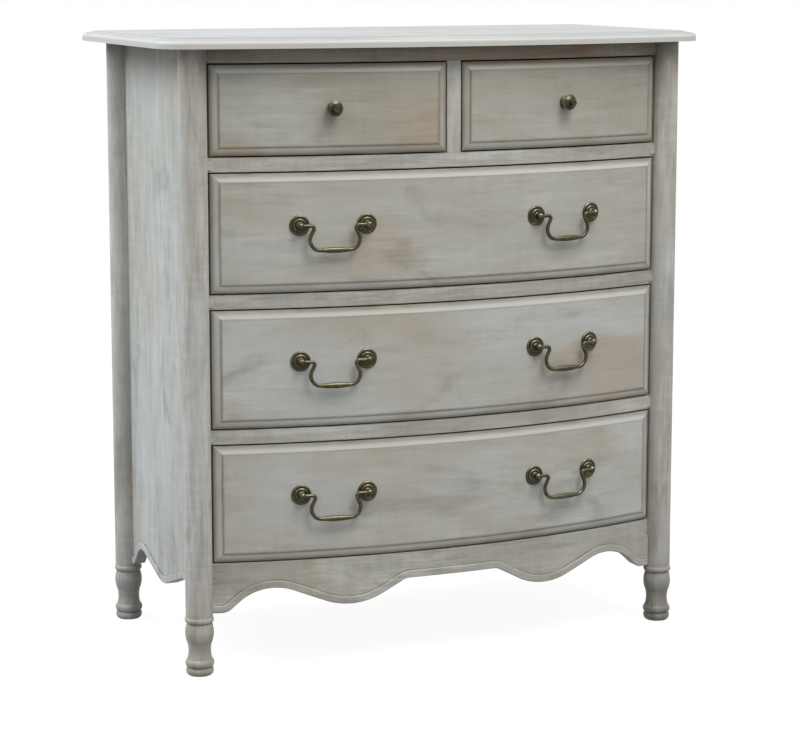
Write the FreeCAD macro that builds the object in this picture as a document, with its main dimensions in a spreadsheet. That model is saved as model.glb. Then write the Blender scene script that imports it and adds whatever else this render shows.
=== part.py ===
import FreeCAD, Part
import Sketcher
import math
import os

doc = FreeCAD.newDocument("BowFrontChest")
sheet = doc.addObject("Spreadsheet::Sheet", "Sizes")

# Driving sizes in millimetres, one row of the sheet each
driving = {
    # Case and top
    "top_width": 1022.0,
    "top_depth": 530.0,
    "top_thickness": 18.0,
    "top_corner_radius": 60.0,
    "top_bow": 51.0,
    "top_front_overhang": 25.0,
    "top_side_overhang": 37.5,
    "top_back_overhang": 2.0,
    "top_moulding_width": 23.0,
    "top_moulding_step": 1.5,
    "top_nose_radius": 7.0,
    "case_height": 1073.0,
    "cut_overrun": 10.0,
    # Turned corner posts and their feet
    "post_radius": 23.5,
    "foot_height": 102.0,
    "foot_base_radius": 20.0,
    "foot_pad_share": 0.137,
    "foot_pad_curve": 9.5,
    "foot_groove_radius": 21.8,
    "foot_ring_share": 0.275,
    "foot_ring_curve": 9.3,
    "foot_waist_share": 0.545,
    "foot_waist_radius": 20.9,
    "foot_waist_curve": 49.0,
    "foot_neck_share": 0.897,
    "foot_neck_radius": 21.8,
    "foot_bulb_curve": 47.0,
    "foot_collar_curve": 7.0,
    # Bow of the front, measured on the rails
    "bow_inset": 28.0,
    "bow_rise": 60.0,
    "rail_setout": 4.0,
    "rail_end_depth": 30.0,
    "rail_height": 24.5,
    "top_rail_height": 25.0,
    "long_row_share": 0.26616,
    "apron_height": 91.0,
    "apron_thickness": 22.0,
    "tenon_length": 12.0,
    "tenon_thickness": 10.0,
    "tenon_shoulder": 3.5,
    "tenon_root": 12.0,
    # Scalloped lower edges and their bead
    "bead_width": 13.0,
    "bead_proud": 3.0,
    "bead_round": 2.0,
    "edge_pick_share": 0.01,
    "apron_end_lift": 3.5,
    "apron_end_inset": 14.5,
    "apron_end_curve_share": 0.2135,
    "apron_arch_share": 0.7178,
    "apron_arch_lift": 44.5,
    "apron_arch_curve_share": 0.7515,
    "apron_drop_share": 0.4222,
    "apron_drop_lift": 8.0,
    "apron_drop_curve_share": 0.7172,
    "apron_middle_share": 0.1822,
    "apron_middle_lift": 45.5,
    "apron_middle_curve_share": 0.1434,
    "side_end_lift": 6.0,
    "side_end_inset": 3.0,
    "side_end_curve_share": 0.32,
    "side_arch_share": 0.648,
    "side_arch_lift": 45.5,
    "side_arch_curve_share": 0.57,
    "side_drop_lift": 12.0,
    "side_drop_curve_share": 0.3676,
    # Panels and inner frame
    "side_thickness": 18.0,
    "side_inset": 3.0,
    "side_tongue": 9.5,
    "back_thickness": 6.0,
    "back_tongue": 5.0,
    "back_rail_thickness": 16.0,
    "back_rail_height": 60.0,
    "back_lift": 48.0,
    "divider_width": 26.0,
    "divider_tenon": 8.0,
    "runner_width": 34.0,
    "centre_runner_width": 64.0,
    "guide_height": 30.0,
    "guide_play": 1.0,
    "stop_width": 30.0,
    "stop_depth": 18.0,
    "stop_height": 8.0,
    "stop_gap": 17.25,
    "running_gap": 0.3,
    # Drawers
    "front_gap": 2.8,
    "front_end_gap": 3.5,
    "front_thickness": 22.0,
    "field_proud": 5.0,
    "border_proud": 0.5,
    "border_width": 14.0,
    "border_step": 1.0,
    "box_inset": 2.0,
    "box_headroom": 25.0,
    "box_wall": 12.0,
    "box_back_gap": 14.0,
    "bottom_thickness": 6.0,
    "bottom_lift": 10.0,
    "bottom_tongue": 6.0,
    # Brass knobs and bail pulls
    "knob_radius": 14.0,
    "knob_length": 29.0,
    "knob_base_radius": 11.0,
    "knob_base_height": 3.0,
    "knob_neck_radius": 6.0,
    "knob_neck_height": 9.0,
    "knob_face_radius": 5.0,
    "knob_shoulder_curve": 12.0,
    "knob_face_curve": 13.0,
    "knob_shank_radius": 3.0,
    "knob_shank_length": 16.0,
    "knob_lift": 2.0,
    "pull_place_share": 0.519,
    "pull_lift": 12.5,
    "pull_spacing": 118.5,
    "pull_standoff": 13.5,
    "rose_radius": 17.6,
    "rose_rim": 1.2,
    "rose_rim_curve": 2.9,
    "rose_ring_radius": 12.9,
    "rose_ring_height": 2.4,
    "rose_ring_curve": 3.4,
    "rose_groove_width": 0.6,
    "rose_boss_radius": 7.2,
    "rose_boss_height": 4.4,
    "rose_crown_radius": 5.2,
    "rose_crown_height": 6.0,
    "stud_radius": 3.0,
    "stud_neck_radius": 4.5,
    "stud_ball_radius": 6.2,
    "stud_tail": 28.0,
    "nut_width": 9.0,
    "nut_height": 4.0,
    "hole_play": 0.05,
    "bail_wire_radius": 3.2,
    "bail_grip_radius": 5.0,
    "bail_pin_depth": 4.0,
    "bail_crook_place": 42.0,
    "bail_crook_radius": 5.2,
    "bail_corner_place": 25.5,
    "bail_corner_radius": 18.0,
    "bail_drop": 42.0,
}
for row, (alias, number) in enumerate(driving.items(), start=1):
    sheet.set("A%d" % row, alias.replace("_", " "))
    sheet.set("B%d" % row, str(number))
    sheet.setAlias("B%d" % row, alias)
doc.recompute()


class Size:
    # A length that carries its formula on the sheet beside its number
    def __init__(self, formula, value):
        self.formula = formula
        self.value = value

    def __add__(self, other):
        return joined(self, "+", other, self.value + number_of(other))

    def __radd__(self, other):
        return joined(other, "+", self, number_of(other) + self.value)

    def __sub__(self, other):
        return joined(self, "-", other, self.value - number_of(other))

    def __rsub__(self, other):
        return joined(other, "-", self, number_of(other) - self.value)

    def __mul__(self, other):
        return joined(self, "*", other, self.value * number_of(other))

    def __rmul__(self, other):
        return joined(other, "*", self, number_of(other) * self.value)

    def __truediv__(self, other):
        return joined(self, "/", other, self.value / number_of(other))

    def __neg__(self):
        return Size("(-1 * %s)" % self.formula, -self.value)


def number_of(item):
    return item.value if isinstance(item, Size) else item


def formula_of(item):
    return item.formula if isinstance(item, Size) else repr(item)


def joined(left, sign, right, value):
    return Size("(%s %s %s)" % (formula_of(left), sign, formula_of(right)), value)


def root(item):
    return Size("sqrt(%s)" % item.formula, math.sqrt(item.value))


def arc_degrees(ratio):
    return Size("asin(%s)" % ratio.formula, math.degrees(math.asin(ratio.value)))


def half_chord(radius, offset):
    # Half the chord of a circle at an offset from its centre
    return root(radius * radius - offset * offset)


zero = Size("0", 0.0)
d = {alias: Size("Sizes." + alias, sheet.get(alias)) for alias in driving}


# Working places derived from the driving sizes
post_x = d["top_width"] / 2 - d["top_side_overhang"] - d["post_radius"]
back_edge_y = d["top_depth"] / 2
post_back_y = back_edge_y - d["top_back_overhang"] - d["post_radius"]
post_front_y = d["top_bow"] + d["top_front_overhang"] + d["post_radius"] - back_edge_y
half_bow = post_x - d["bow_inset"]
bow_radius = (half_bow * half_bow + d["bow_rise"] * d["bow_rise"]) / (2 * d["bow_rise"])
bow_y = post_front_y - d["rail_setout"] - d["bow_rise"] + bow_radius
rail_back_y = post_front_y - d["rail_setout"] + d["rail_end_depth"]
case_top_z = d["case_height"]
side_outer_x = post_x - d["side_inset"]
side_inner_x = side_outer_x - d["side_thickness"]
back_front_y = post_back_y - d["back_rail_thickness"] / 2 - d["back_thickness"]
field_radius = bow_radius + d["field_proud"]
border_radius = bow_radius + d["border_proud"]
front_inner_radius = field_radius - d["front_thickness"]
front_half_width = post_x - d["post_radius"] - d["front_end_gap"]
apron_top_z = d["foot_height"] + d["apron_height"]
back_low_z = d["foot_height"] + d["back_lift"]
top_rail_z = case_top_z - d["top_rail_height"]
drawer_space = top_rail_z - apron_top_z - 3 * d["rail_height"]
long_row = drawer_space * d["long_row_share"]
small_row = drawer_space - 3 * long_row
row_pitch = long_row + d["rail_height"]
row_floors = [apron_top_z, apron_top_z + row_pitch, apron_top_z + 2 * row_pitch, apron_top_z + 3 * row_pitch]
pull_x = front_half_width * d["pull_place_share"]
stop_x = pull_x - d["pull_spacing"] / 2 - d["stop_width"] / 2 - d["stop_gap"]
row_words = ["bottom", "lower", "middle", "upper"]
over = d["cut_overrun"]
nodes = []


def bind(item, **sizes):
    # Ties properties of an object to their formulas
    for prop, size in sizes.items():
        item.setExpression(prop, formula_of(size))
    return item


def place(item, x, y, z):
    item.Placement = FreeCAD.Placement(FreeCAD.Vector(x.value, y.value, z.value), FreeCAD.Rotation())
    item.setExpression("Placement.Base.x", x.formula)
    item.setExpression("Placement.Base.y", y.formula)
    item.setExpression("Placement.Base.z", z.formula)
    return item


def keep(item, label):
    item.Label = label
    nodes.append(item)
    return item


def box(x, y, z):
    # A block between two limits on each axis
    item = doc.addObject("Part::Box", "Block")
    bind(item, Length=x[1] - x[0], Width=y[1] - y[0], Height=z[1] - z[0])
    return place(item, x[0], y[0], z[0])


def cylinder(x, y, z, radius):
    # An upright round between two heights
    item = doc.addObject("Part::Cylinder", "Round")
    bind(item, Radius=radius, Height=z[1] - z[0])
    return place(item, x, y, z[0])


def cut(base, tool):
    item = doc.addObject("Part::Cut", "Cut")
    item.Base = base
    item.Tool = tool
    return item


def common(base, tool):
    item = doc.addObject("Part::Common", "Common")
    item.Base = base
    item.Tool = tool
    return item


def fuse(items):
    item = doc.addObject("Part::MultiFuse", "Fuse")
    item.Shapes = items
    item.Refine = True
    return item


def group(items):
    item = doc.addObject("Part::Compound", "Group")
    item.Links = items
    return item


def mirrored(low, high, side):
    # Limits on the right-hand side, or their mirror image on the left
    return (low, high) if side > 0 else (-high, -low)


def new_sketch(body, role):
    plane = [part for part in body.Origin.OriginFeatures if part.Role == role][0]
    sketch = body.newObject("Sketcher::SketchObject", "Outline")
    sketch.AttachmentSupport = (plane, [""])
    sketch.MapMode = "FlatFace"
    return sketch


def vector(point):
    return FreeCAD.Vector(point[0].value, point[1].value, 0)


def tie(sketch, kind, geo, pos, size):
    # Holds one coordinate of a point, on the axis itself where the size is zero
    if size is zero:
        axis = -2 if kind == "DistanceX" else -1
        sketch.addConstraint(Sketcher.Constraint("PointOnObject", geo, pos, axis))
        return
    index = sketch.addConstraint(Sketcher.Constraint(kind, -1, 1, geo, pos, size.value))
    sketch.setExpression("Constraints[%d]" % index, size.formula)


def tie_radius(sketch, geo, size):
    index = sketch.addConstraint(Sketcher.Constraint("Radius", geo, size.value))
    sketch.setExpression("Constraints[%d]" % index, size.formula)


def add_arc(sketch, start, end, centre, radius, left):
    # Adds an arc and says which of its ends is the start of the run
    first = math.atan2(start.y - centre.y, start.x - centre.x)
    last = math.atan2(end.y - centre.y, end.x - centre.x)
    circle = Part.Circle(centre, FreeCAD.Vector(0, 0, 1), radius)
    span = (first, last) if left else (last, first)
    geo = sketch.addGeometry(Part.ArcOfCircle(circle, *span), False)
    return geo, (1, 2) if left else (2, 1)


def loop(sketch, corners):
    # Closes a loop through its corners; a corner may carry the radius and side of the run after it
    runs = []
    for here, there in zip(corners, corners[1:] + corners[:1]):
        start, end = vector(here), vector(there)
        if len(here) == 2:
            geo = sketch.addGeometry(Part.LineSegment(start, end), False)
            ends = (1, 2)
        else:
            radius, left = here[2].value, here[3] == "left"
            chord = end - start
            reach = math.sqrt(max(radius ** 2 - (chord.Length / 2) ** 2, 0))
            normal = FreeCAD.Vector(-chord.y, chord.x, 0).normalize()
            centre = (start + end) / 2 + normal * (reach if left else -reach)
            geo, ends = add_arc(sketch, start, end, centre, radius, left)
        runs.append((geo, ends))
    for index, (here, (geo, ends)) in enumerate(zip(corners, runs)):
        before, before_ends = runs[index - 1]
        sketch.addConstraint(Sketcher.Constraint("Coincident", before, before_ends[1], geo, ends[0]))
        tie(sketch, "DistanceX", geo, ends[0], here[0])
        tie(sketch, "DistanceY", geo, ends[0], here[1])
        if len(here) > 2:
            tie_radius(sketch, geo, here[2])


def tangent_run(sketch, start_x, circles, end_x, heading):
    # Level run, then rounds joined by tangent straights, then a level run; each round is left or right of it
    rounds = []
    for x, z, radius, left in circles:
        rounds.append((FreeCAD.Vector(x.value, z.value, 0), radius.value, 1 if left else -1))
    spans = []
    for (here, r0, s0), (there, r1, s1) in zip(rounds, rounds[1:]):
        apart = there - here
        slope = math.atan2(apart.y, apart.x) - math.asin((s1 * r1 - s0 * r0) / apart.Length)
        normal = FreeCAD.Vector(-math.sin(slope), math.cos(slope), 0)
        spans.append((here - normal * s0 * r0, there - normal * s1 * r1))
    level = FreeCAD.Vector(0, heading, 0)
    first = rounds[0][0] - level * rounds[0][1] * rounds[0][2]
    last = rounds[-1][0] - level * rounds[-1][1] * rounds[-1][2]
    spans.insert(0, (FreeCAD.Vector(start_x.value, first.y, 0), first))
    spans.append((last, FreeCAD.Vector(end_x.value, last.y, 0)))
    lines = [sketch.addGeometry(Part.LineSegment(*span), False) for span in spans]
    for index, (x, z, radius, left) in enumerate(circles):
        centre, number, side = rounds[index]
        geo, ends = add_arc(sketch, spans[index][1], spans[index + 1][0], centre, number, left)
        tie(sketch, "DistanceX", geo, 3, x)
        tie(sketch, "DistanceY", geo, 3, z)
        tie_radius(sketch, geo, radius)
        sketch.addConstraint(Sketcher.Constraint("Tangent", lines[index], 2, geo, ends[0]))
        sketch.addConstraint(Sketcher.Constraint("Tangent", geo, ends[1], lines[index + 1], 1))
    sketch.addConstraint(Sketcher.Constraint("Horizontal", lines[0]))
    sketch.addConstraint(Sketcher.Constraint("Horizontal", lines[-1]))
    tie(sketch, "DistanceX", lines[0], 1, start_x)
    tie(sketch, "DistanceX", lines[-1], 2, end_x)
    return lines[0], lines[-1]


def pad(body, sketch, length, reverse=False):
    item = body.newObject("PartDesign::Pad", "Pad")
    item.Profile = sketch
    item.Reversed = reverse
    return bind(item, Length=length)


def revolve(body, sketch, axis="V_Axis", degrees=None):
    item = body.newObject("PartDesign::Revolution", "Turning")
    item.Profile = sketch
    item.ReferenceAxis = (sketch, [axis])
    item.Angle = 360
    if degrees is not None:
        item.Midplane = True
        bind(item, Angle=degrees)
    return item


def bow(radius, z):
    # The round that the bowed fronts are part of
    return cylinder(zero, bow_y, z, radius)


# Turned corner posts


def post_profile():
    foot = d["foot_height"]
    return [
        (zero, zero),
        (d["foot_base_radius"], zero, d["foot_pad_curve"], "left"),
        (d["foot_groove_radius"], foot * d["foot_pad_share"], d["foot_ring_curve"], "left"),
        (d["foot_groove_radius"], foot * d["foot_ring_share"], d["foot_waist_curve"], "right"),
        (d["foot_waist_radius"], foot * d["foot_waist_share"], d["foot_bulb_curve"], "left"),
        (d["foot_neck_radius"], foot * d["foot_neck_share"], d["foot_collar_curve"], "left"),
        (d["post_radius"], foot),
        (d["post_radius"], case_top_z),
        (zero, case_top_z),
    ]


def side_ends():
    # Ends of a side panel, let into its two posts
    return (post_front_y + d["post_radius"] - d["side_tongue"],
            post_back_y - d["post_radius"] + d["side_tongue"])


def back_half_width():
    reach = half_chord(d["post_radius"], post_back_y - back_front_y - d["back_thickness"] / 2)
    return post_x - reach + d["back_tongue"]


def back_limits():
    return (back_front_y, back_front_y + d["back_thickness"])


def tenon(side, y, z):
    # Stub tenon of a cross piece, which is also the shape of its mortise
    tip = post_x - d["post_radius"] + d["tenon_length"]
    root_x = post_x - d["post_radius"] - d["tenon_root"]
    half = d["tenon_thickness"] / 2
    return box(mirrored(root_x, tip, side), (y - half, y + half), z)


def rail_tenon_heights(z):
    return (z[0] + d["tenon_shoulder"], z[1] - d["tenon_shoulder"])


def front_tenon_heights():
    # Heights of the cross pieces that are tenoned into each front post
    heights = [rail_tenon_heights((top_rail_z, case_top_z))]
    for floor in row_floors[1:]:
        heights.append(rail_tenon_heights((floor - d["rail_height"], floor)))
    heights.append(apron_tenon_heights())
    return heights


def apron_tenon_heights():
    low = d["foot_height"] + d["apron_end_lift"] + d["bead_width"]
    return (low, apron_top_z - d["rail_height"] - d["tenon_shoulder"])


def back_rail_heights():
    return [(back_low_z, back_low_z + d["back_rail_height"]),
            (case_top_z - d["back_rail_height"], case_top_z)]


def corner_post(side, y, tools, label):
    body = doc.addObject("PartDesign::Body", "Post")
    sketch = new_sketch(body, "XZ_Plane")
    loop(sketch, post_profile())
    revolve(body, sketch)
    place(body, post_x if side > 0 else -post_x, y, zero)
    keep(cut(body, fuse(tools)), label)


def side_groove(side):
    front, back = side_ends()
    return box(mirrored(side_inner_x, side_outer_x, side), (front, back),
               (d["foot_height"] + d["side_end_lift"], case_top_z))


def back_groove():
    half = back_half_width()
    return box((-half, half), back_limits(), (back_low_z, case_top_z))


def corner_posts():
    for side, word in ((-1, "left"), (1, "right")):
        mortises = [tenon(side, post_front_y, z) for z in front_tenon_heights()]
        corner_post(side, post_front_y, [side_groove(side)] + mortises, "corner_post_front_" + word)
        mortises = [tenon(side, post_back_y, rail_tenon_heights(z)) for z in back_rail_heights()]
        corner_post(side, post_back_y, [side_groove(side), back_groove()] + mortises,
                    "corner_post_back_" + word)


# Side and back panels


def widest_rounds(run, rise):
    # Largest sum of two radii that still lets a tangent line pass between a hanging and an arched round
    return (run * run + rise * rise) / (2 * rise)


def side_lobes():
    # Rounds of a side panel's lower edge from front to back: place, centre height, radius, hanging or not
    middle = (post_front_y + post_back_y) / 2
    half = (post_back_y - post_front_y) / 2 - d["post_radius"]
    end, arch = half - d["side_end_inset"], half * d["side_arch_share"]
    reach = widest_rounds(end - arch, d["side_arch_lift"] - d["side_end_lift"])
    end_curve, arch_curve = reach * d["side_end_curve_share"], reach * d["side_arch_curve_share"]
    reach = widest_rounds(arch, d["side_arch_lift"] - d["side_drop_lift"])
    drop_curve = reach * d["side_drop_curve_share"]
    end_z = d["foot_height"] + d["side_end_lift"] + end_curve
    arch_z = d["foot_height"] + d["side_arch_lift"] - arch_curve
    return [
        (middle - end, end_z, end_curve, True),
        (middle - arch, arch_z, arch_curve, False),
        (middle, d["foot_height"] + d["side_drop_lift"] + drop_curve, drop_curve, True),
        (middle + arch, arch_z, arch_curve, False),
        (middle + end, end_z, end_curve, True),
    ]


def lifted(lobes, lift):
    # The same rounds for a line that runs a fixed distance above the edge
    return [(x, z, radius - lift if hangs else radius + lift, hangs) for x, z, radius, hangs in lobes]


def board_outline(sketch, lobes, ends, top):
    # Wavy lower edge, straight ends and a straight top
    first, last = tangent_run(sketch, ends[0], lobes, ends[1], 1)
    low_right = sketch.getPoint(last, 2)
    low_left = sketch.getPoint(first, 1)
    high_right = FreeCAD.Vector(ends[1].value, top.value, 0)
    high_left = FreeCAD.Vector(ends[0].value, top.value, 0)
    right = sketch.addGeometry(Part.LineSegment(low_right, high_right), False)
    roof = sketch.addGeometry(Part.LineSegment(high_right, high_left), False)
    left = sketch.addGeometry(Part.LineSegment(high_left, low_left), False)
    for before, after in ((last, right), (right, roof), (roof, left), (left, first)):
        sketch.addConstraint(Sketcher.Constraint("Coincident", before, 2, after, 1))
    tie(sketch, "DistanceX", roof, 1, ends[1])
    tie(sketch, "DistanceX", roof, 2, ends[0])
    tie(sketch, "DistanceY", roof, 1, top)
    sketch.addConstraint(Sketcher.Constraint("Horizontal", roof))


def bead_outline(sketch, lobes, ends):
    # Band of even width along the wavy edge
    low_first, low_last = tangent_run(sketch, ends[0], lobes, ends[1], 1)
    high_first, high_last = tangent_run(sketch, ends[0], lifted(lobes, d["bead_width"]), ends[1], 1)
    for low, high, pos in ((low_first, high_first, 1), (low_last, high_last, 2)):
        geo = sketch.addGeometry(Part.LineSegment(sketch.getPoint(low, pos), sketch.getPoint(high, pos)), False)
        sketch.addConstraint(Sketcher.Constraint("Coincident", low, pos, geo, 1))
        sketch.addConstraint(Sketcher.Constraint("Coincident", high, pos, geo, 2))


def rounded(body, chosen, radius):
    # Rounds those edges of a body's last feature that are chosen by a point on them
    doc.recompute()
    last = body.Tip
    edges = last.Shape.Edges
    names = ["Edge%d" % (place_in + 1) for place_in, edge in enumerate(edges) if chosen(edge)]
    round_over = body.newObject("PartDesign::Fillet", "RoundOver")
    round_over.Base = (last, names)
    bind(round_over, Radius=radius)


def middle_of(edge):
    return edge.valueAt((edge.FirstParameter + edge.LastParameter) / 2)


def same(first, second):
    return abs(first - second) < (d["bead_round"] * d["edge_pick_share"]).value


def on_bead(edge, face_x, ends):
    # Upper and lower edges of a side panel's bead, without the two short ends
    spots = [middle_of(edge)] + [corner.Point for corner in edge.Vertexes]
    at_end = any(same(spots[0].y, end.value) for end in ends)
    return not at_end and all(same(spot.x, face_x) for spot in spots)


def side_panel(side, label):
    body = doc.addObject("PartDesign::Body", "SidePanel")
    board = new_sketch(body, "YZ_Plane")
    board_outline(board, side_lobes(), side_ends(), case_top_z)
    pad(body, board, d["side_thickness"], side < 0)
    bead = new_sketch(body, "YZ_Plane")
    bead_ends = (post_front_y + d["post_radius"], post_back_y - d["post_radius"])
    bead_outline(bead, side_lobes(), bead_ends)
    face = d["side_thickness"] + d["bead_proud"]
    pad(body, bead, face, side < 0)
    rounded(body, lambda edge: on_bead(edge, side * face.value, bead_ends), d["bead_round"])
    place(body, side_inner_x if side > 0 else -side_inner_x, zero, zero)
    keep(body, label)


def side_panels():
    side_panel(-1, "side_panel_left")
    side_panel(1, "side_panel_right")


def post_rounds(y):
    # Both post shafts at one depth, for coping the cross pieces
    heights = (zero, case_top_z + over)
    return fuse([cylinder(-post_x, y, heights, d["post_radius"]), cylinder(post_x, y, heights, d["post_radius"])])


def back_frame():
    half = back_half_width()
    panel = box((-half, half), back_limits(), (back_low_z, case_top_z))
    keep(panel, "back_panel")
    coping = post_rounds(post_back_y)
    face = back_front_y + d["back_thickness"]
    for heights, label in zip(back_rail_heights(), ("back_bottom_rail", "back_top_rail")):
        board = box((-post_x, post_x), (face, face + d["back_rail_thickness"]), heights)
        coped = cut(board, coping)
        tenons = [tenon(side, post_back_y, rail_tenon_heights(heights)) for side in (-1, 1)]
        keep(fuse([coped] + tenons), label)


# Bowed rails, apron and divider of the front


def divider_tenon(low, high):
    half = d["divider_width"] / 2 - d["tenon_shoulder"]
    depth = rail_back_y - d["rail_end_depth"] / 2
    return box((-half, half), (depth - d["tenon_thickness"], depth), (low, high))


def rail_blank(z, radius):
    # Board with a bowed front edge and a straight back edge
    reach = bow_y - radius
    blank = box((-side_inner_x, side_inner_x), (reach, rail_back_y), z)
    return common(blank, bow(radius, z))


def front_rails(coping):
    half_tenon = d["divider_tenon"]
    heights = [(floor - d["rail_height"], floor) for floor in row_floors]
    for z, word in zip(heights[1:], ("lower", "middle", "upper")):
        coped = cut(rail_blank(z, bow_radius), coping)
        tenons = [tenon(side, post_front_y, rail_tenon_heights(z)) for side in (-1, 1)]
        rail = fuse([coped] + tenons)
        if word == "upper":
            rail = cut(rail, divider_tenon(z[1] - half_tenon, z[1]))
        keep(rail, "drawer_rail_" + word)
    z = (top_rail_z, case_top_z)
    tenons = [tenon(side, post_front_y, rail_tenon_heights(z)) for side in (-1, 1)]
    rail = fuse([cut(rail_blank(z, bow_radius), coping)] + tenons)
    keep(cut(rail, divider_tenon(z[0], z[0] + half_tenon)), "top_rail")
    keep(cut(rail_blank(heights[0], bow_radius - d["apron_thickness"]), coping), "bottom_rail")
    z = (row_floors[3], top_rail_z)
    half = d["divider_width"] / 2
    blank = box((-half, half), (bow_y - bow_radius, rail_back_y), z)
    upright = common(blank, bow(bow_radius, z))
    stubs = [divider_tenon(z[0] - half_tenon, z[0]), divider_tenon(z[1], z[1] + half_tenon)]
    keep(fuse([upright] + stubs), "drawer_divider")


def apron_lobes():
    # Rounds of the apron's lower edge from left to right
    end = post_x - d["post_radius"] - d["apron_end_inset"]
    arch, drop = post_x * d["apron_arch_share"], post_x * d["apron_drop_share"]
    middle = post_x * d["apron_middle_share"]
    reach = widest_rounds(end - arch, d["apron_arch_lift"] - d["apron_end_lift"])
    end_curve, arch_curve = reach * d["apron_end_curve_share"], reach * d["apron_arch_curve_share"]
    reach = widest_rounds(drop - middle, d["apron_middle_lift"] - d["apron_drop_lift"])
    drop_curve, middle_curve = reach * d["apron_drop_curve_share"], reach * d["apron_middle_curve_share"]
    foot = d["foot_height"]
    half = [
        (end, foot + d["apron_end_lift"] + end_curve, end_curve, True),
        (arch, foot + d["apron_arch_lift"] - arch_curve, arch_curve, False),
        (drop, foot + d["apron_drop_lift"] + drop_curve, drop_curve, True),
        (middle, foot + d["apron_middle_lift"] - middle_curve, middle_curve, False),
    ]
    left = [(-x, z, radius, hangs) for x, z, radius, hangs in half]
    return left + half[::-1]


def apron_prism(draw):
    # The apron's outline as seen from the front, run through the depth of the bow
    body = doc.addObject("PartDesign::Body", "Apron")
    sketch = new_sketch(body, "XZ_Plane")
    draw(sketch)
    pad(body, sketch, d["bow_rise"] + d["rail_end_depth"] + over)
    place(body, zero, rail_back_y, zero)
    return body


def on_apron_bead(edge, ends):
    # Upper and lower edges of the apron's bead, without the two short ends
    spots = [middle_of(edge)] + [corner.Point for corner in edge.Vertexes]
    at_end = any(same(spots[0].x, end.value) for end in ends)
    reach = (bow_radius + d["bead_proud"]).value
    return not at_end and all(same(math.hypot(spot.x, bow_y.value - spot.y), reach) for spot in spots)


def front_apron(coping):
    ends = (-side_inner_x, side_inner_x)
    heights = (zero, apron_top_z)
    wall = cut(bow(bow_radius, heights), bow(bow_radius - d["apron_thickness"], heights))
    bead_wall = cut(bow(bow_radius + d["bead_proud"], heights),
                    bow(bow_radius - d["apron_thickness"], heights))
    board = apron_prism(lambda sketch: board_outline(sketch, apron_lobes(), ends, apron_top_z))
    bead = apron_prism(lambda sketch: bead_outline(sketch, apron_lobes(), ends))
    band = doc.addObject("PartDesign::Body", "ApronBead")
    band.BaseFeature = common(bead, bead_wall)
    rounded(band, lambda edge: on_apron_bead(edge, ends), d["bead_round"])
    shaped = fuse([common(board, wall), band])
    tenons = [tenon(side, post_front_y, apron_tenon_heights()) for side in (-1, 1)]
    keep(fuse([cut(shaped, coping)] + tenons), "front_apron")


# Runners, guides, stops and cleats inside the case


def runner_ends():
    return (rail_back_y, back_front_y)


def box_half_width():
    return front_half_width - d["box_inset"]


def small_box_inner_x():
    return d["divider_width"] / 2 + d["front_gap"] + d["box_inset"]


def inner_frame():
    depth = runner_ends()
    for side, word in ((-1, "left"), (1, "right")):
        runners = []
        for floor in row_floors:
            x = mirrored(side_inner_x - d["runner_width"], side_inner_x, side)
            runners.append(box(x, depth, (floor - d["rail_height"], floor)))
        keep(group(runners), "drawer_runners_" + word)
    half = d["centre_runner_width"] / 2
    floor = row_floors[3]
    keep(box((-half, half), depth, (floor - d["rail_height"], floor)), "centre_runner")
    guides = []
    for floor in row_floors:
        for side in (-1, 1):
            x = mirrored(box_half_width() + d["guide_play"], side_inner_x, side)
            guides.append(box(x, depth, (floor, floor + d["guide_height"])))
    half = small_box_inner_x() - d["guide_play"]
    guides.append(box((-half, half), depth, (floor, floor + d["guide_height"])))
    keep(group(guides), "drawer_guides")
    cleats = []
    for side in (-1, 1):
        x = mirrored(side_inner_x - d["runner_width"], side_inner_x, side)
        cleats.append(box(x, depth, (top_rail_z, case_top_z)))
    keep(group(cleats), "top_cleats")


def drawer_stops():
    # Small blocks on each rail that meet the back of the drawer front
    stops = []
    for floor in row_floors:
        z = (floor, floor + d["stop_height"])
        radius = front_inner_radius - d["running_gap"]
        for side in (-1, 1):
            x = mirrored(stop_x - d["stop_width"] / 2, stop_x + d["stop_width"] / 2, side)
            face = bow_y - half_chord(radius, stop_x)
            blank = box(x, (face - over, face + d["stop_depth"]), z)
            stops.append(common(blank, bow(radius, z)))
    keep(group(stops), "drawer_stops")


# Top with its moulded edge


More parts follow.
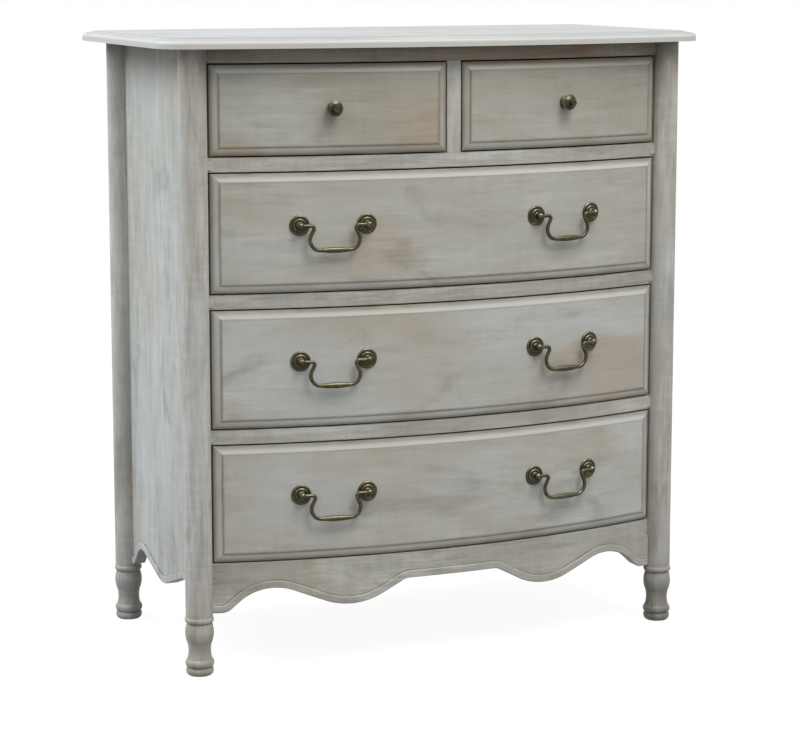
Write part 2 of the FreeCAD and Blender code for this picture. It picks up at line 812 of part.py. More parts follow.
def top_panel():
    body = doc.addObject("PartDesign::Body", "Top")
    half = d["top_width"] / 2
    reach = half - d["top_corner_radius"]
    rise = d["top_bow"]
    radius = (reach * reach + rise * rise) / (2 * rise)
    centre_y = radius - back_edge_y
    turn_y = centre_y - half_chord(radius - d["top_corner_radius"], reach)
    share = radius / (radius - d["top_corner_radius"])
    meet_x = reach * share
    meet_y = centre_y - (centre_y - turn_y) * share
    sketch = new_sketch(body, "XY_Plane")
    loop(sketch, [
        (half, back_edge_y),
        (-half, back_edge_y),
        (-half, turn_y, d["top_corner_radius"], "left"),
        (-meet_x, meet_y, radius, "left"),
        (meet_x, meet_y, d["top_corner_radius"], "left"),
        (half, turn_y),
    ])
    pad(body, sketch, d["top_thickness"])
    edge = new_sketch(body, "XZ_Plane")
    edge.setExpression("AttachmentOffset.Base.z", (-back_edge_y).formula)
    quirk_x = d["top_moulding_width"] - half
    step_z = d["top_thickness"] - d["top_moulding_step"]
    nose = d["top_nose_radius"]
    run = d["top_moulding_width"] - nose
    fall = step_z - 2 * nose
    lean = (run * run + fall * fall) / (2 * fall)
    loop(edge, [
        (quirk_x, d["top_thickness"] + over),
        (quirk_x, step_z, lean + nose, "left"),
        (nose - half - nose * run / lean, nose + nose * (lean - fall) / lean, nose, "left"),
        (-half, nose),
        (-half - over, nose),
        (-half - over, d["top_thickness"] + over),
    ])
    sweep = body.newObject("PartDesign::SubtractivePipe", "Moulding")
    sweep.Profile = edge
    sweep.Spine = (sketch, ["Edge2", "Edge3", "Edge4", "Edge5", "Edge6"])
    place(body, zero, zero, case_top_z)
    keep(body, "top_panel")


# Drawers


def border_curve():
    fall = d["field_proud"] - d["border_step"] - d["border_proud"]
    return (d["border_width"] * d["border_width"] + fall * fall) / (2 * fall)


def front_section(z):
    # Upright section of a drawer front: flat field, small step and thumbnail border
    back = bow_y - front_inner_radius
    edge = bow_y - border_radius
    field = bow_y - field_radius
    step = field + d["border_step"]
    low, high = z[0] + d["border_width"], z[1] - d["border_width"]
    return [
        (back, z[0]),
        (back, z[1]),
        (edge, z[1], border_curve(), "left"),
        (step, high),
        (field, high),
        (field, low),
        (step, low, border_curve(), "left"),
        (edge, z[0]),
    ]


def front_plan(x):
    # Plan of a drawer front with the same border at both ends, left open towards the room and the case
    inner = (x[0] + d["border_width"], x[1] - d["border_width"])
    room = bow_y - field_radius - over
    steps = [bow_y - half_chord(field_radius - d["border_step"], place_x) for place_x in inner]
    edges = [bow_y - half_chord(border_radius, place_x) for place_x in x]
    case = rail_back_y
    return [
        (x[0], case),
        (x[0], edges[0], border_curve(), "left"),
        (inner[0], steps[0]),
        (inner[0], room),
        (inner[1], room),
        (inner[1], steps[1], border_curve(), "left"),
        (x[1], edges[1]),
        (x[1], case),
    ]


def drawer_front(x, z):
    bowed = doc.addObject("PartDesign::Body", "BowedFront")
    section = new_sketch(bowed, "YZ_Plane")
    loop(section, front_section(z))
    axis = section.addGeometry(Part.LineSegment(
        FreeCAD.Vector(bow_y.value, z[0].value, 0), FreeCAD.Vector(bow_y.value, z[1].value, 0)), True)
    section.addConstraint(Sketcher.Constraint("Vertical", axis))
    tie(section, "DistanceX", axis, 1, bow_y)
    tie(section, "DistanceY", axis, 1, z[0])
    tie(section, "DistanceY", axis, 2, z[1])
    revolve(bowed, section, "Axis0", 2 * arc_degrees(post_x / front_inner_radius))
    ends = doc.addObject("PartDesign::Body", "FrontEnds")
    plan = new_sketch(ends, "XY_Plane")
    loop(plan, front_plan(x))
    pad(ends, plan, z[1] + over)
    return common(bowed, ends)


def bow_placement(radius, degrees, z):
    # A place on the bowed front, turned to face straight out from it
    angle = math.radians(degrees)
    spot = FreeCAD.Vector(radius * math.sin(angle), bow_y.value - radius * math.cos(angle), z)
    return FreeCAD.Placement(spot, FreeCAD.Rotation(FreeCAD.Vector(0, 0, 1), degrees))


def turned(profile):
    # A small round piece turned about its own Y axis, which points into the drawer
    body = doc.addObject("PartDesign::Body", "Turned")
    sketch = new_sketch(body, "XY_Plane")
    loop(sketch, profile)
    revolve(body, sketch)
    return body


def bore(radius, depth, placement):
    # A round hole straight into the front
    hole = doc.addObject("Part::Cylinder", "Bore")
    bind(hole, Radius=radius, Height=depth + over)
    lay = FreeCAD.Rotation(FreeCAD.Vector(1, 0, 0), -90)
    hole.Placement = placement * FreeCAD.Placement(FreeCAD.Vector(0, -over.value, 0), lay)
    return hole


def drawer(label, x, box_x, z, floor, row_height, holes):
    # Front, two sides, back and bottom of one drawer
    radius = front_inner_radius
    bottom_z = (floor + d["running_gap"] + d["bottom_lift"],
                floor + d["running_gap"] + d["bottom_lift"] + d["bottom_thickness"])
    side_z = (floor + d["running_gap"], floor + row_height - d["box_headroom"])
    wall = d["box_wall"]
    back_y = back_front_y - d["box_back_gap"]
    start_y = bow_y - bow_radius
    tongue = d["bottom_tongue"]
    bottom_blank = box((box_x[0] + wall - tongue, box_x[1] - wall + tongue), (start_y, back_y), bottom_z)
    bottom = common(bottom_blank, bow(radius + tongue, bottom_z))
    front = cut(drawer_front(x, z), bottom)
    for hole in holes:
        front = cut(front, hole)
    pieces = {"front": front}
    for word, limits in (("left", (box_x[0], box_x[0] + wall)), ("right", (box_x[1] - wall, box_x[1]))):
        blank = common(box(limits, (start_y, back_y), side_z), bow(radius, side_z))
        pieces["side_" + word] = cut(blank, bottom_blank)
    pieces["back"] = box((box_x[0] + wall, box_x[1] - wall), (back_y - wall, back_y), (bottom_z[1], side_z[1]))
    pieces["bottom"] = bottom
    for word, piece in pieces.items():
        keep(piece, label + "_" + word)


def row_limits(floor, height):
    return (floor + d["front_gap"], floor + height - d["front_gap"])


# Brass knobs and bail pulls


def knob_profile():
    ball_z = d["knob_length"] - d["knob_radius"]
    return [
        (zero, d["knob_shank_length"]),
        (d["knob_shank_radius"], d["knob_shank_length"]),
        (d["knob_shank_radius"], zero),
        (d["knob_base_radius"], zero),
        (d["knob_base_radius"], -d["knob_base_height"]),
        (d["knob_neck_radius"], -d["knob_neck_height"], d["knob_shoulder_curve"], "left"),
        (d["knob_radius"], -ball_z, d["knob_face_curve"], "left"),
        (d["knob_face_radius"], -d["knob_length"]),
        (zero, -d["knob_length"]),
    ]


def rose_profile():
    # Two rounded rings with a groove inside each, then the seat of the stud
    groove = d["rose_groove_width"]
    return [
        (d["stud_radius"] + d["hole_play"], zero),
        (d["rose_radius"], zero),
        (d["rose_radius"], -d["rose_rim"], d["rose_rim_curve"], "right"),
        (d["rose_ring_radius"], -d["rose_ring_height"]),
        (d["rose_ring_radius"] - groove, -d["rose_ring_height"], d["rose_ring_curve"], "right"),
        (d["rose_boss_radius"], -d["rose_boss_height"]),
        (d["rose_boss_radius"] - groove, -d["rose_boss_height"]),
        (d["rose_crown_radius"], -d["rose_crown_height"]),
        (d["stud_radius"] + d["hole_play"], -d["rose_crown_height"]),
    ]


def stud_profile():
    neck_reach = half_chord(d["stud_ball_radius"], d["stud_neck_radius"])
    return [
        (zero, d["stud_tail"]),
        (d["stud_radius"], d["stud_tail"]),
        (d["stud_radius"], -d["rose_crown_height"]),
        (d["stud_neck_radius"], -d["rose_crown_height"]),
        (d["stud_neck_radius"], neck_reach - d["pull_standoff"], d["stud_ball_radius"], "right"),
        (zero, -d["pull_standoff"] - d["stud_ball_radius"]),
    ]


def pull_angles(side):
    # Middle of a pull and half the angle between its two studs, seen from the centre of the bow
    middle = math.degrees(math.asin(pull_x.value / field_radius.value))
    spread = d["pull_spacing"].value / 2 / (field_radius.value + d["pull_standoff"].value)
    return side * middle, math.degrees(math.asin(spread))


def bail_frame(side, z):
    # The bail's own frame: its pivot line is the X axis
    middle, spread = pull_angles(side)
    radius = (field_radius.value + d["pull_standoff"].value) * math.cos(math.radians(spread))
    return bow_placement(radius, middle, z.value)


def nut(placement):
    # Square nut on the inside of the drawer front
    half = d["nut_width"] / 2
    blank = box((-half, half), (d["front_thickness"], d["front_thickness"] + d["nut_height"]), (-half, half))
    hole = doc.addObject("Part::Cylinder", "NutBore")
    bind(hole, Radius=d["stud_radius"] + d["hole_play"], Height=d["stud_tail"])
    hole.Placement = FreeCAD.Placement(FreeCAD.Vector(), FreeCAD.Rotation(FreeCAD.Vector(1, 0, 0), -90))
    item = cut(blank, hole)
    item.Placement = placement
    return item


def pin_hole(side, z):
    # Bore on the bail's pivot line, blind at both ends inside the two studs
    reach = d["pull_spacing"] / 2 - d["stud_ball_radius"] + d["bail_pin_depth"] + d["running_gap"]
    hole = doc.addObject("Part::Cylinder", "PinBore")
    bind(hole, Radius=d["bail_wire_radius"] + d["hole_play"], Height=2 * reach)
    along = FreeCAD.Placement(FreeCAD.Vector(-reach.value, 0, 0), FreeCAD.Rotation(FreeCAD.Vector(0, 1, 0), 90))
    hole.Placement = bail_frame(side, z) * along
    return hole


def pull_fittings(label, z):
    # Four roses, studs and nuts of one long drawer, and the holes that they need
    pieces, holes = [], []
    for side in (-1, 1):
        middle, spread = pull_angles(side)
        pin = pin_hole(side, z)
        for degrees in (middle - spread, middle + spread):
            seat = bow_placement(field_radius.value, degrees, z.value)
            rose = turned(rose_profile())
            rose.Placement = seat
            stud = turned(stud_profile())
            stud.Placement = seat
            pieces += [rose, cut(stud, pin), nut(seat)]
            holes.append(bore(d["stud_radius"] + d["hole_play"], d["front_thickness"] + over, seat))
    keep(group(pieces), label)
    return holes


def bail(side, z, label):
    body = doc.addObject("PartDesign::Body", "Bail")
    path = new_sketch(body, "XZ_Plane")
    tip = d["pull_spacing"] / 2 - d["stud_ball_radius"] + d["bail_pin_depth"]
    crook, corner = d["bail_crook_radius"], d["bail_corner_radius"]
    right = [
        (d["bail_crook_place"], -crook, crook, True),
        (d["bail_corner_place"], corner - d["bail_drop"], corner, False),
    ]
    left = [(-x, z_place, radius, turn) for x, z_place, radius, turn in right[::-1]]
    tangent_run(path, tip, right + left, -tip, -1)
    wire = new_sketch(body, "YZ_Plane")
    wire.setExpression("AttachmentOffset.Base.z", tip.formula)
    ring = wire.addGeometry(Part.Circle(FreeCAD.Vector(), FreeCAD.Vector(0, 0, 1), d["bail_wire_radius"].value))
    wire.addConstraint(Sketcher.Constraint("Coincident", ring, 3, -1, 1))
    tie_radius(wire, ring, d["bail_wire_radius"])
    sweep = body.newObject("PartDesign::AdditivePipe", "Wire")
    sweep.Profile = wire
    sweep.Spine = (path, [])
    grip = new_sketch(body, "XZ_Plane")
    grip.setExpression("AttachmentOffset.Base.y", (-d["bail_drop"]).formula)
    swell = d["bail_grip_radius"] - d["bail_wire_radius"]
    reach = d["bail_corner_place"]
    loop(grip, [
        (-reach, zero),
        (reach, zero),
        (reach, d["bail_wire_radius"], (reach * reach + swell * swell) / (2 * swell), "left"),
        (-reach, d["bail_wire_radius"]),
    ])
    revolve(body, grip, "H_Axis")
    body.Placement = bail_frame(side, z)
    keep(body, label)


def long_drawers():
    x = (-front_half_width, front_half_width)
    box_x = (-box_half_width(), box_half_width())
    for word, floor in zip(row_words[:3], row_floors[:3]):
        name = "drawer_" + word
        pull_z = floor + long_row / 2 + d["pull_lift"]
        holes = pull_fittings("pull_fittings_" + word, pull_z)
        drawer(name, x, box_x, row_limits(floor, long_row), floor, long_row, holes)
        for side, hand in ((-1, "left"), (1, "right")):
            bail(side, pull_z, "bail_%s_%s" % (word, hand))


def small_drawers():
    floor = row_floors[3]
    inner = d["divider_width"] / 2 + d["front_gap"]
    z = row_limits(floor, small_row)
    knob_z = floor + small_row / 2 + d["knob_lift"]
    knob_x = (inner + front_half_width) / 2
    for side, hand in ((-1, "left"), (1, "right")):
        degrees = side * math.degrees(math.asin(knob_x.value / field_radius.value))
        seat = bow_placement(field_radius.value, degrees, knob_z.value)
        hole = bore(d["knob_shank_radius"] + d["hole_play"], d["knob_shank_length"], seat)
        drawer("drawer_small_" + hand, mirrored(inner, front_half_width, side),
               mirrored(small_box_inner_x(), box_half_width(), side), z, floor, small_row, [hole])
        knob = turned(knob_profile())
        knob.Placement = seat
        keep(knob, "knob_" + hand)


front_coping = post_rounds(post_front_y)
corner_posts()
side_panels()
back_frame()
front_rails(front_coping)
front_apron(front_coping)
inner_frame()
drawer_stops()
top_panel()
long_drawers()
small_drawers()
doc.recompute()

for item in doc.Objects:
    if "Invalid" in item.State or "Error" in item.State:
        raise RuntimeError("%s did not build: %s" % (item.Label, item.State))
for item in nodes:
    if item.Shape.isNull() or not item.Shape.isValid() or not item.Shape.Solids:
        raise RuntimeError("%s has no valid solid" % item.Label)

os.makedirs("parts", exist_ok=True)
for item in nodes:
    item.Shape.exportStep("parts/%s.step" % item.Label)
print("%d nodes written" % len(nodes))
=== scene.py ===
from math import radians

import bpy
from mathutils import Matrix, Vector


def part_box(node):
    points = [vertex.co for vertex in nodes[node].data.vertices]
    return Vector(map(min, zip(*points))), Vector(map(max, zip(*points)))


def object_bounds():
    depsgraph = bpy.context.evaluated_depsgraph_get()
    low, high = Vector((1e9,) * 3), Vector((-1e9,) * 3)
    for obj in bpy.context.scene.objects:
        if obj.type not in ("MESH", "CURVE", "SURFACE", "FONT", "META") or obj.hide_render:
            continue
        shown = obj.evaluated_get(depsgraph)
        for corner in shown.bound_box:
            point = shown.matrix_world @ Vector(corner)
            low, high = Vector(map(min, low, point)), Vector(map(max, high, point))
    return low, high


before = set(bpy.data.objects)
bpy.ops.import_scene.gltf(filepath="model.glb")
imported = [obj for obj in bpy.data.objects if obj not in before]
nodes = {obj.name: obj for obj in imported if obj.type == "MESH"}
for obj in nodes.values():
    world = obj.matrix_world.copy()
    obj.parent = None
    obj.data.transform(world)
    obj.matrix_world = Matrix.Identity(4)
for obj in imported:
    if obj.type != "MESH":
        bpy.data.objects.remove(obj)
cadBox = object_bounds()
print("frame loaded:", len(nodes), "nodes")


# small helpers for node trees

def feed(tree, socket, value):
    if isinstance(value, bpy.types.NodeSocket):
        tree.links.new(value, socket)
    else:
        socket.default_value = value


def mathNode(tree, operation, a, b=0.0, clamp=False):
    node = tree.nodes.new("ShaderNodeMath")
    node.operation = operation
    node.use_clamp = clamp
    feed(tree, node.inputs[0], a)
    feed(tree, node.inputs[1], b)
    return node.outputs[0]


def times(tree, a, b, clamp=False):
    return mathNode(tree, "MULTIPLY", a, b, clamp)


def plus(tree, a, b, clamp=False):
    return mathNode(tree, "ADD", a, b, clamp)


def minus(tree, a, b):
    return mathNode(tree, "SUBTRACT", a, b)


def rangeNode(tree, value, low, high, toLow=0.0, toHigh=1.0):
    node = tree.nodes.new("ShaderNodeMapRange")
    node.interpolation_type = "SMOOTHSTEP"
    for socket, number in zip(node.inputs[1:5], (low, high, toLow, toHigh)):
        feed(tree, socket, number)
    feed(tree, node.inputs[0], value)
    return node.outputs[0]


def mixNode(tree, factor, a, b, blend="MIX"):
    node = tree.nodes.new("ShaderNodeMix")
    node.data_type = "RGBA"
    node.blend_type = blend
    node.clamp_factor = True
    feed(tree, node.inputs[0], factor)
    feed(tree, node.inputs[6], a)
    feed(tree, node.inputs[7], b)
    return node.outputs[2]


def splitNode(tree, vector):
    node = tree.nodes.new("ShaderNodeSeparateXYZ")
    feed(tree, node.inputs[0], vector)
    return node.outputs


def stretchNode(tree, vector, scale, shift, turn=(0, 0, 0)):
    node = tree.nodes.new("ShaderNodeMapping")
    node.inputs["Scale"].default_value = scale
    node.inputs["Rotation"].default_value = turn
    node.inputs["Location"].default_value = shift
    feed(tree, node.inputs["Vector"], vector)
    return node.outputs[0]


def noiseNode(tree, vector, scale, shift, detail, rough, warp=0.0):
    node = tree.nodes.new("ShaderNodeTexNoise")
    node.inputs["Scale"].default_value = 1.0
    node.inputs["Detail"].default_value = detail
    node.inputs["Roughness"].default_value = rough
    node.inputs["Distortion"].default_value = warp
    feed(tree, node.inputs["Vector"], stretchNode(tree, vector, scale, shift))
    return node.outputs["Fac"]


def newGroup(name, inputs, outputs):
    tree = bpy.data.node_groups.new(name, "ShaderNodeTree")
    kinds = {"color": "NodeSocketColor", "value": "NodeSocketFloat", "vector": "NodeSocketVector"}
    for label, kind in inputs:
        tree.interface.new_socket(label, in_out="INPUT", socket_type=kinds[kind])
    for label, kind in outputs:
        tree.interface.new_socket(label, in_out="OUTPUT", socket_type=kinds[kind])
    source = tree.nodes.new("NodeGroupInput").outputs
    sink = tree.nodes.new("NodeGroupOutput").inputs
    return tree, source, sink


def useGroup(tree, group, **values):
    node = tree.nodes.new("ShaderNodeGroup")
    node.node_tree = group
    for label, value in values.items():
        feed(tree, node.inputs[label], value)
    return node.outputs


def rgb(r, g, b):
    # screen colour 0-255 to a linear colour
    parts = [v / 255 for v in (r, g, b)]
    return [v / 12.92 if v < 0.0404 else ((v + 0.055) / 1.055) ** 2.4 for v in parts] + [1.0]


# bowed pieces: place along the bow, depth behind it and height, so brush marks follow the curve

bowShape = {"centreY": 1.284533, "radius": 1.514033}


def makeBowPlace():
    tree, source, sink = newGroup("bowPlace", [("Vector", "vector")], [("Vector", "vector")])
    x, y, z = splitNode(tree, source["Vector"])
    depth = minus(tree, bowShape["centreY"], y)
    angle = mathNode(tree, "ARCTAN2", x, depth)
    squares = plus(tree, times(tree, x, x), times(tree, depth, depth))
    join = tree.nodes.new("ShaderNodeCombineXYZ")
    feed(tree, join.inputs[0], times(tree, angle, bowShape["radius"]))
    feed(tree, join.inputs[1], minus(tree, bowShape["radius"], mathNode(tree, "SQRT", squares)))
    feed(tree, join.inputs[2], z)
    feed(tree, sink["Vector"], join.outputs[0])
    return tree


# limed and glazed wood, grain along the vector's X, metres
# each mark: noise scale, shift, detail, roughness and warp

limedMarks = {
    "broad": ((2.4, 7.0, 7.0), (0.3, 1.7, 2.9), 3.0, 0.55, 0.4),
    "warm": ((3.6, 9.0, 9.0), (4.1, 0.7, 5.3), 3.0, 0.6, 0.6),
    "smudge": ((4.5, 10.0, 10.0), (7.7, 3.1, 1.9), 4.0, 0.62, 0.8),
    "wide": ((8.0, 62.0, 62.0), (1.1, 2.3, 3.7), 4.0, 0.6, 0.5),
    "fine": ((18.0, 280.0, 280.0), (5.9, 4.3, 0.7), 3.0, 0.65, 0.2),
    "cross": ((85.0, 13.0, 13.0), (3.6, 7.1, 2.4), 3.0, 0.6, 0.4),
    "load": ((5.0, 14.0, 14.0), (6.4, 2.8, 8.8), 3.0, 0.6, 0.5),
    "dry": ((16.0, 210.0, 210.0), (2.2, 8.3, 6.1), 2.0, 0.5),
    "dryArea": ((3.0, 6.0, 6.0), (9.4, 5.5, 0.2), 2.0, 0.5),
    "pores": ((28.0, 900.0, 900.0), (3.3, 1.2, 7.4), 2.0, 0.5),
}
limedRanges = {
    "broad": (0.40, 0.66), "warm": (0.50, 0.72), "smudge": (0.54, 0.74), "load": (0.34, 0.66, 0.35, 1.25),
    "brush": (0.30, 0.70, 0.34, 0.66), "dry": (0.60, 0.74), "dryArea": (0.46, 0.64), "pores": (0.62, 0.76),
    "gloss": (0.3, 0.7, 0.62, 0.46),
}
limedShares = {"wide": 0.5, "fine": 0.32, "cross": 0.18, "poreColor": 0.28, "poreDepth": 0.5}


def makeLimedGrain():
    tree, source, sink = newGroup(
        "limedGrain",
        [("Vector", "vector"), ("Body", "color"), ("Pale", "color"), ("Warm", "color"), ("Shade", "color"),
         ("Patches", "value"), ("Streaks", "value"), ("Smudges", "value")],
        [("Color", "color"), ("Roughness", "value"), ("Height", "value")])
    mark = {name: noiseNode(tree, source["Vector"], *values) for name, values in limedMarks.items()}
    mask = {name: rangeNode(tree, mark[name], *limedRanges[name]) for name in mark if name in limedRanges}
    color = mixNode(tree, times(tree, mask["broad"], source["Patches"]), source["Body"], source["Pale"])
    color = mixNode(tree, times(tree, mask["warm"], source["Patches"]), color, source["Warm"])
    color = mixNode(tree, times(tree, mask["smudge"], source["Smudges"]), color, source["Shade"])
    # brush marks: wide soft ones, fine ones and a few across the grain
    along = plus(tree, times(tree, mark["wide"], limedShares["wide"]), times(tree, mark["fine"], limedShares["fine"]))
    brush = plus(tree, along, times(tree, mark["cross"], limedShares["cross"]))
    load = times(tree, mask["load"], source["Streaks"], True)
    color = mixNode(tree, load, color, rangeNode(tree, brush, *limedRanges["brush"]), "OVERLAY")
    dry = times(tree, mask["dry"], mask["dryArea"])
    color = mixNode(tree, times(tree, dry, source["Streaks"]), color, source["Pale"])
    color = mixNode(tree, times(tree, mask["pores"], limedShares["poreColor"]), color, source["Shade"])
    feed(tree, sink["Color"], color)
    feed(tree, sink["Roughness"], rangeNode(tree, brush, *limedRanges["gloss"]))
    feed(tree, sink["Height"], minus(tree, brush, times(tree, mask["pores"], limedShares["poreDepth"])))
    return tree


# dark glaze left in recesses and pale rubbed edges; for painted pieces the recess mask also carries painted shade,
# laid on in the glaze colour

glazeMarks = {
    "breakUp": ((18.0, 60.0, 60.0), (0.9, 3.9, 6.6), 3.0, 0.6), "rub": (0.34, 0.62), "held": (0.2, 0.6, 1.0, 0.65),
}


def makeGlazeAndRub():
    tree, source, sink = newGroup(
        "glazeAndRub",
        [("Vector", "vector"), ("Color", "color"), ("Recess", "value"), ("Edge", "value"), ("Glaze", "color"),
         ("Rub", "color"), ("Glaze Amount", "value"), ("Rub Amount", "value")],
        [("Color", "color")])
    breakUp = noiseNode(tree, source["Vector"], *glazeMarks["breakUp"])
    rub = times(tree, source["Edge"], rangeNode(tree, breakUp, *glazeMarks["rub"]))
    color = mixNode(tree, times(tree, rub, source["Rub Amount"]), source["Color"], source["Rub"])
    held = times(tree, source["Recess"], rangeNode(tree, breakUp, *glazeMarks["held"]))
    held = times(tree, held, source["Glaze Amount"], True)
    feed(tree, sink["Color"], mixNode(tree, held, color, source["Glaze"]))
    return tree


# drawer front: dark lines round its outer edge (glaze with painted shade of the gap, wider along the top as painted
# shadow), at the foot of the border and at the mitres, and a painted highlight along the top border

lineShape = {
    "footStart": 0.0004, "footDark": 0.75, "topEase": (0.0, 1.0, 0.6, 0.92), "mitre": (0.0002, 0.0009, 0.75, 0.0),
    "rimWidth": 0.0068, "rimTopExtra": 0.0042, "rimDark": 0.9, "ridgeHighlight": (0.002, 0.0115),
}


def makeFrontLines():
    tree, source, sink = newGroup(
        "frontLines",
        [("Vector", "vector"), ("Left", "value"), ("Right", "value"), ("Low", "value"), ("High", "value"),
         ("Border", "value"), ("Width", "value")],
        [("Line", "value"), ("Upright", "value"), ("Top", "value")])
    x, _, z = splitNode(tree, source["Vector"])
    across = mathNode(tree, "MINIMUM", minus(tree, x, source["Left"]), minus(tree, source["Right"], x))
    fromLow = minus(tree, z, source["Low"])
    fromHigh = minus(tree, source["High"], z)
    up = mathNode(tree, "MINIMUM", fromLow, fromHigh)
    near = mathNode(tree, "MINIMUM", across, up)
    inside = mathNode(tree, "LESS_THAN", near, source["Border"])
    topRun = mathNode(tree, "LESS_THAN", fromHigh, mathNode(tree, "MINIMUM", across, fromLow))
    away = mathNode(tree, "ABSOLUTE", minus(tree, near, source["Border"]))
    foot = rangeNode(tree, away, lineShape["footStart"], source["Width"], lineShape["footDark"], 0.0)
    eased = times(tree, topRun, rangeNode(tree, inside, *lineShape["topEase"]))
    foot = times(tree, foot, minus(tree, 1.0, eased))
    skew = mathNode(tree, "ABSOLUTE", minus(tree, across, up))
    mitre = times(tree, rangeNode(tree, skew, *lineShape["mitre"]), inside)
    # dark rim at the outer edge: glaze and painted shade of the gap, wider along the top run as painted shadow from
    # above
    rimWidth = plus(tree, lineShape["rimWidth"], times(tree, topRun, lineShape["rimTopExtra"]))
    rim = rangeNode(tree, near, 0.0, rimWidth, lineShape["rimDark"], 0.0)
    line = mathNode(tree, "MAXIMUM", mathNode(tree, "MAXIMUM", foot, rim), mitre)
    feed(tree, sink["Line"], line)
    feed(tree, sink["Upright"], times(tree, inside, mathNode(tree, "LESS_THAN", across, up)))
    # painted highlight along the top run of the border
    ridgeHighlight = rangeNode(tree, near, *lineShape["ridgeHighlight"])
    feed(tree, sink["Top"], times(tree, ridgeHighlight, times(tree, inside, topRun)))
    return tree


# plain sawn wood inside the case, grain along the vector's X

sawnMarks = {
    "sway": ((1.6, 5.0, 5.0), (2.5, 0.4, 3.3), 2.0, 0.5),
    "rings": ((0.7, 78.0, 78.0), (0.0, 0.6, 1.8), 3.0, 0.55, 0.3),
    "fibre": ((14.0, 620.0, 620.0), (6.0, 2.0, 1.0), 3.0, 0.6),
    "stain": ((3.0, 6.0, 6.0), (8.0, 1.4, 4.4), 3.0, 0.6),
}
sawnRanges = {
    "rings": (0.36, 0.64), "fibre": (0.3, 0.7, 0.25, 0.75), "stain": (0.52, 0.8, 0.0, 0.45),
    "gloss": (0.3, 0.7, 0.82, 0.66),
}
sawnShares = {"sway": (0.0, 0.06, 0.06), "fibre": 0.35, "ringHeight": 0.4}


def makeSawnGrain():
    tree, source, sink = newGroup(
        "sawnGrain",
        [("Vector", "vector"), ("Early", "color"), ("Late", "color"), ("Stain", "color"), ("Contrast", "value")],
        [("Color", "color"), ("Roughness", "value"), ("Height", "value")])
    place = source["Vector"]
    shifted = tree.nodes.new("ShaderNodeVectorMath")
    shifted.operation = "MULTIPLY_ADD"
    feed(tree, shifted.inputs[0], noiseNode(tree, place, *sawnMarks["sway"]))
    shifted.inputs[1].default_value = sawnShares["sway"]
    feed(tree, shifted.inputs[2], place)
    rings = noiseNode(tree, shifted.outputs[0], *sawnMarks["rings"])
    fibre = noiseNode(tree, place, *sawnMarks["fibre"])
    stain = noiseNode(tree, place, *sawnMarks["stain"])
    ringMask = times(tree, rangeNode(tree, rings, *sawnRanges["rings"]), source["Contrast"])
    color = mixNode(tree, ringMask, source["Early"], source["Late"])
    color = mixNode(tree, sawnShares["fibre"], color, rangeNode(tree, fibre, *sawnRanges["fibre"]), "OVERLAY")
    color = mixNode(tree, rangeNode(tree, stain, *sawnRanges["stain"]), color, source["Stain"])
    feed(tree, sink["Color"], color)
    feed(tree, sink["Roughness"], rangeNode(tree, fibre, *sawnRanges["gloss"]))
    feed(tree, sink["Height"], plus(tree, fibre, times(tree, rings, sawnShares["ringHeight"])))
    return tree


# antiqued brass: dark skin, rubbed raised parts, dirt in the hollows, a painted reflection on up-facing parts and
# painted shade on undersides

brassMarks = {
    "mottle": ((90.0, 90.0, 90.0), (1.0, 2.0, 3.0), 4.0, 0.6, 0.4),
    "speck": ((520.0, 520.0, 520.0), (4.0, 5.0, 6.0), 2.0, 0.6),
}
brassRanges = {
    "rubbedEdgeAndLitTop": (0.15, 0.85), "paleShare": (0.50, 0.76, 0.0, 0.35), "under": (-0.6, 0.1, 0.55, 0.0),
    "speck": (0.3, 0.7, 0.2, 0.8), "dirt": (0.3, 0.7, 1.0, 0.7), "gloss": (0.3, 0.7, 0.46, 0.30),
}
brassShares = {"speck": 0.25, "dirtRough": 0.3, "dirtDull": 0.55, "mottleHeight": 0.5}


def makeOldBrass():
    tree, source, sink = newGroup(
        "oldBrass",
        [("Vector", "vector"), ("Recess", "value"), ("Edge", "value"), ("Upper", "value"), ("Skin", "color"),
         ("Rubbed", "color"), ("Dirt", "color"), ("Rub Amount", "value")],
        [("Color", "color"), ("Roughness", "value"), ("Metallic", "value"), ("Height", "value")])
    mottle = noiseNode(tree, source["Vector"], *brassMarks["mottle"])
    speck = noiseNode(tree, source["Vector"], *brassMarks["speck"])
    # rubbed edges plus a painted reflection on parts facing up
    rubbedEdgeAndLitTop = plus(tree, source["Edge"], rangeNode(tree, source["Upper"], *brassRanges["rubbedEdgeAndLitTop"]))
    paleShare = plus(tree, times(tree, rubbedEdgeAndLitTop, source["Rub Amount"]),
                rangeNode(tree, mottle, *brassRanges["paleShare"]), True)
    # undersides painted dark: painted shade
    color = mixNode(tree, rangeNode(tree, source["Upper"], *brassRanges["under"]), source["Skin"], source["Dirt"])
    color = mixNode(tree, paleShare, color, source["Rubbed"])
    color = mixNode(tree, brassShares["speck"], color, rangeNode(tree, speck, *brassRanges["speck"]), "OVERLAY")
    dirt = times(tree, source["Recess"], rangeNode(tree, mottle, *brassRanges["dirt"]), True)
    feed(tree, sink["Color"], mixNode(tree, dirt, color, source["Dirt"]))
    gloss = rangeNode(tree, mottle, *brassRanges["gloss"])
    feed(tree, sink["Roughness"], plus(tree, gloss, times(tree, dirt, brassShares["dirtRough"])))
    feed(tree, sink["Metallic"], minus(tree, 1.0, times(tree, dirt, brassShares["dirtDull"])))
    feed(tree, sink["Height"], plus(tree, speck, times(tree, mottle, brassShares["mottleHeight"])))
    return tree


bowPlace = makeBowPlace()
limedGrain = makeLimedGrain()
glazeAndRub = makeGlazeAndRub()
frontLines = makeFrontLines()
sawnGrain = makeSawnGrain()
oldBrass = makeOldBrass()
print("node groups made")


# what every material starts from

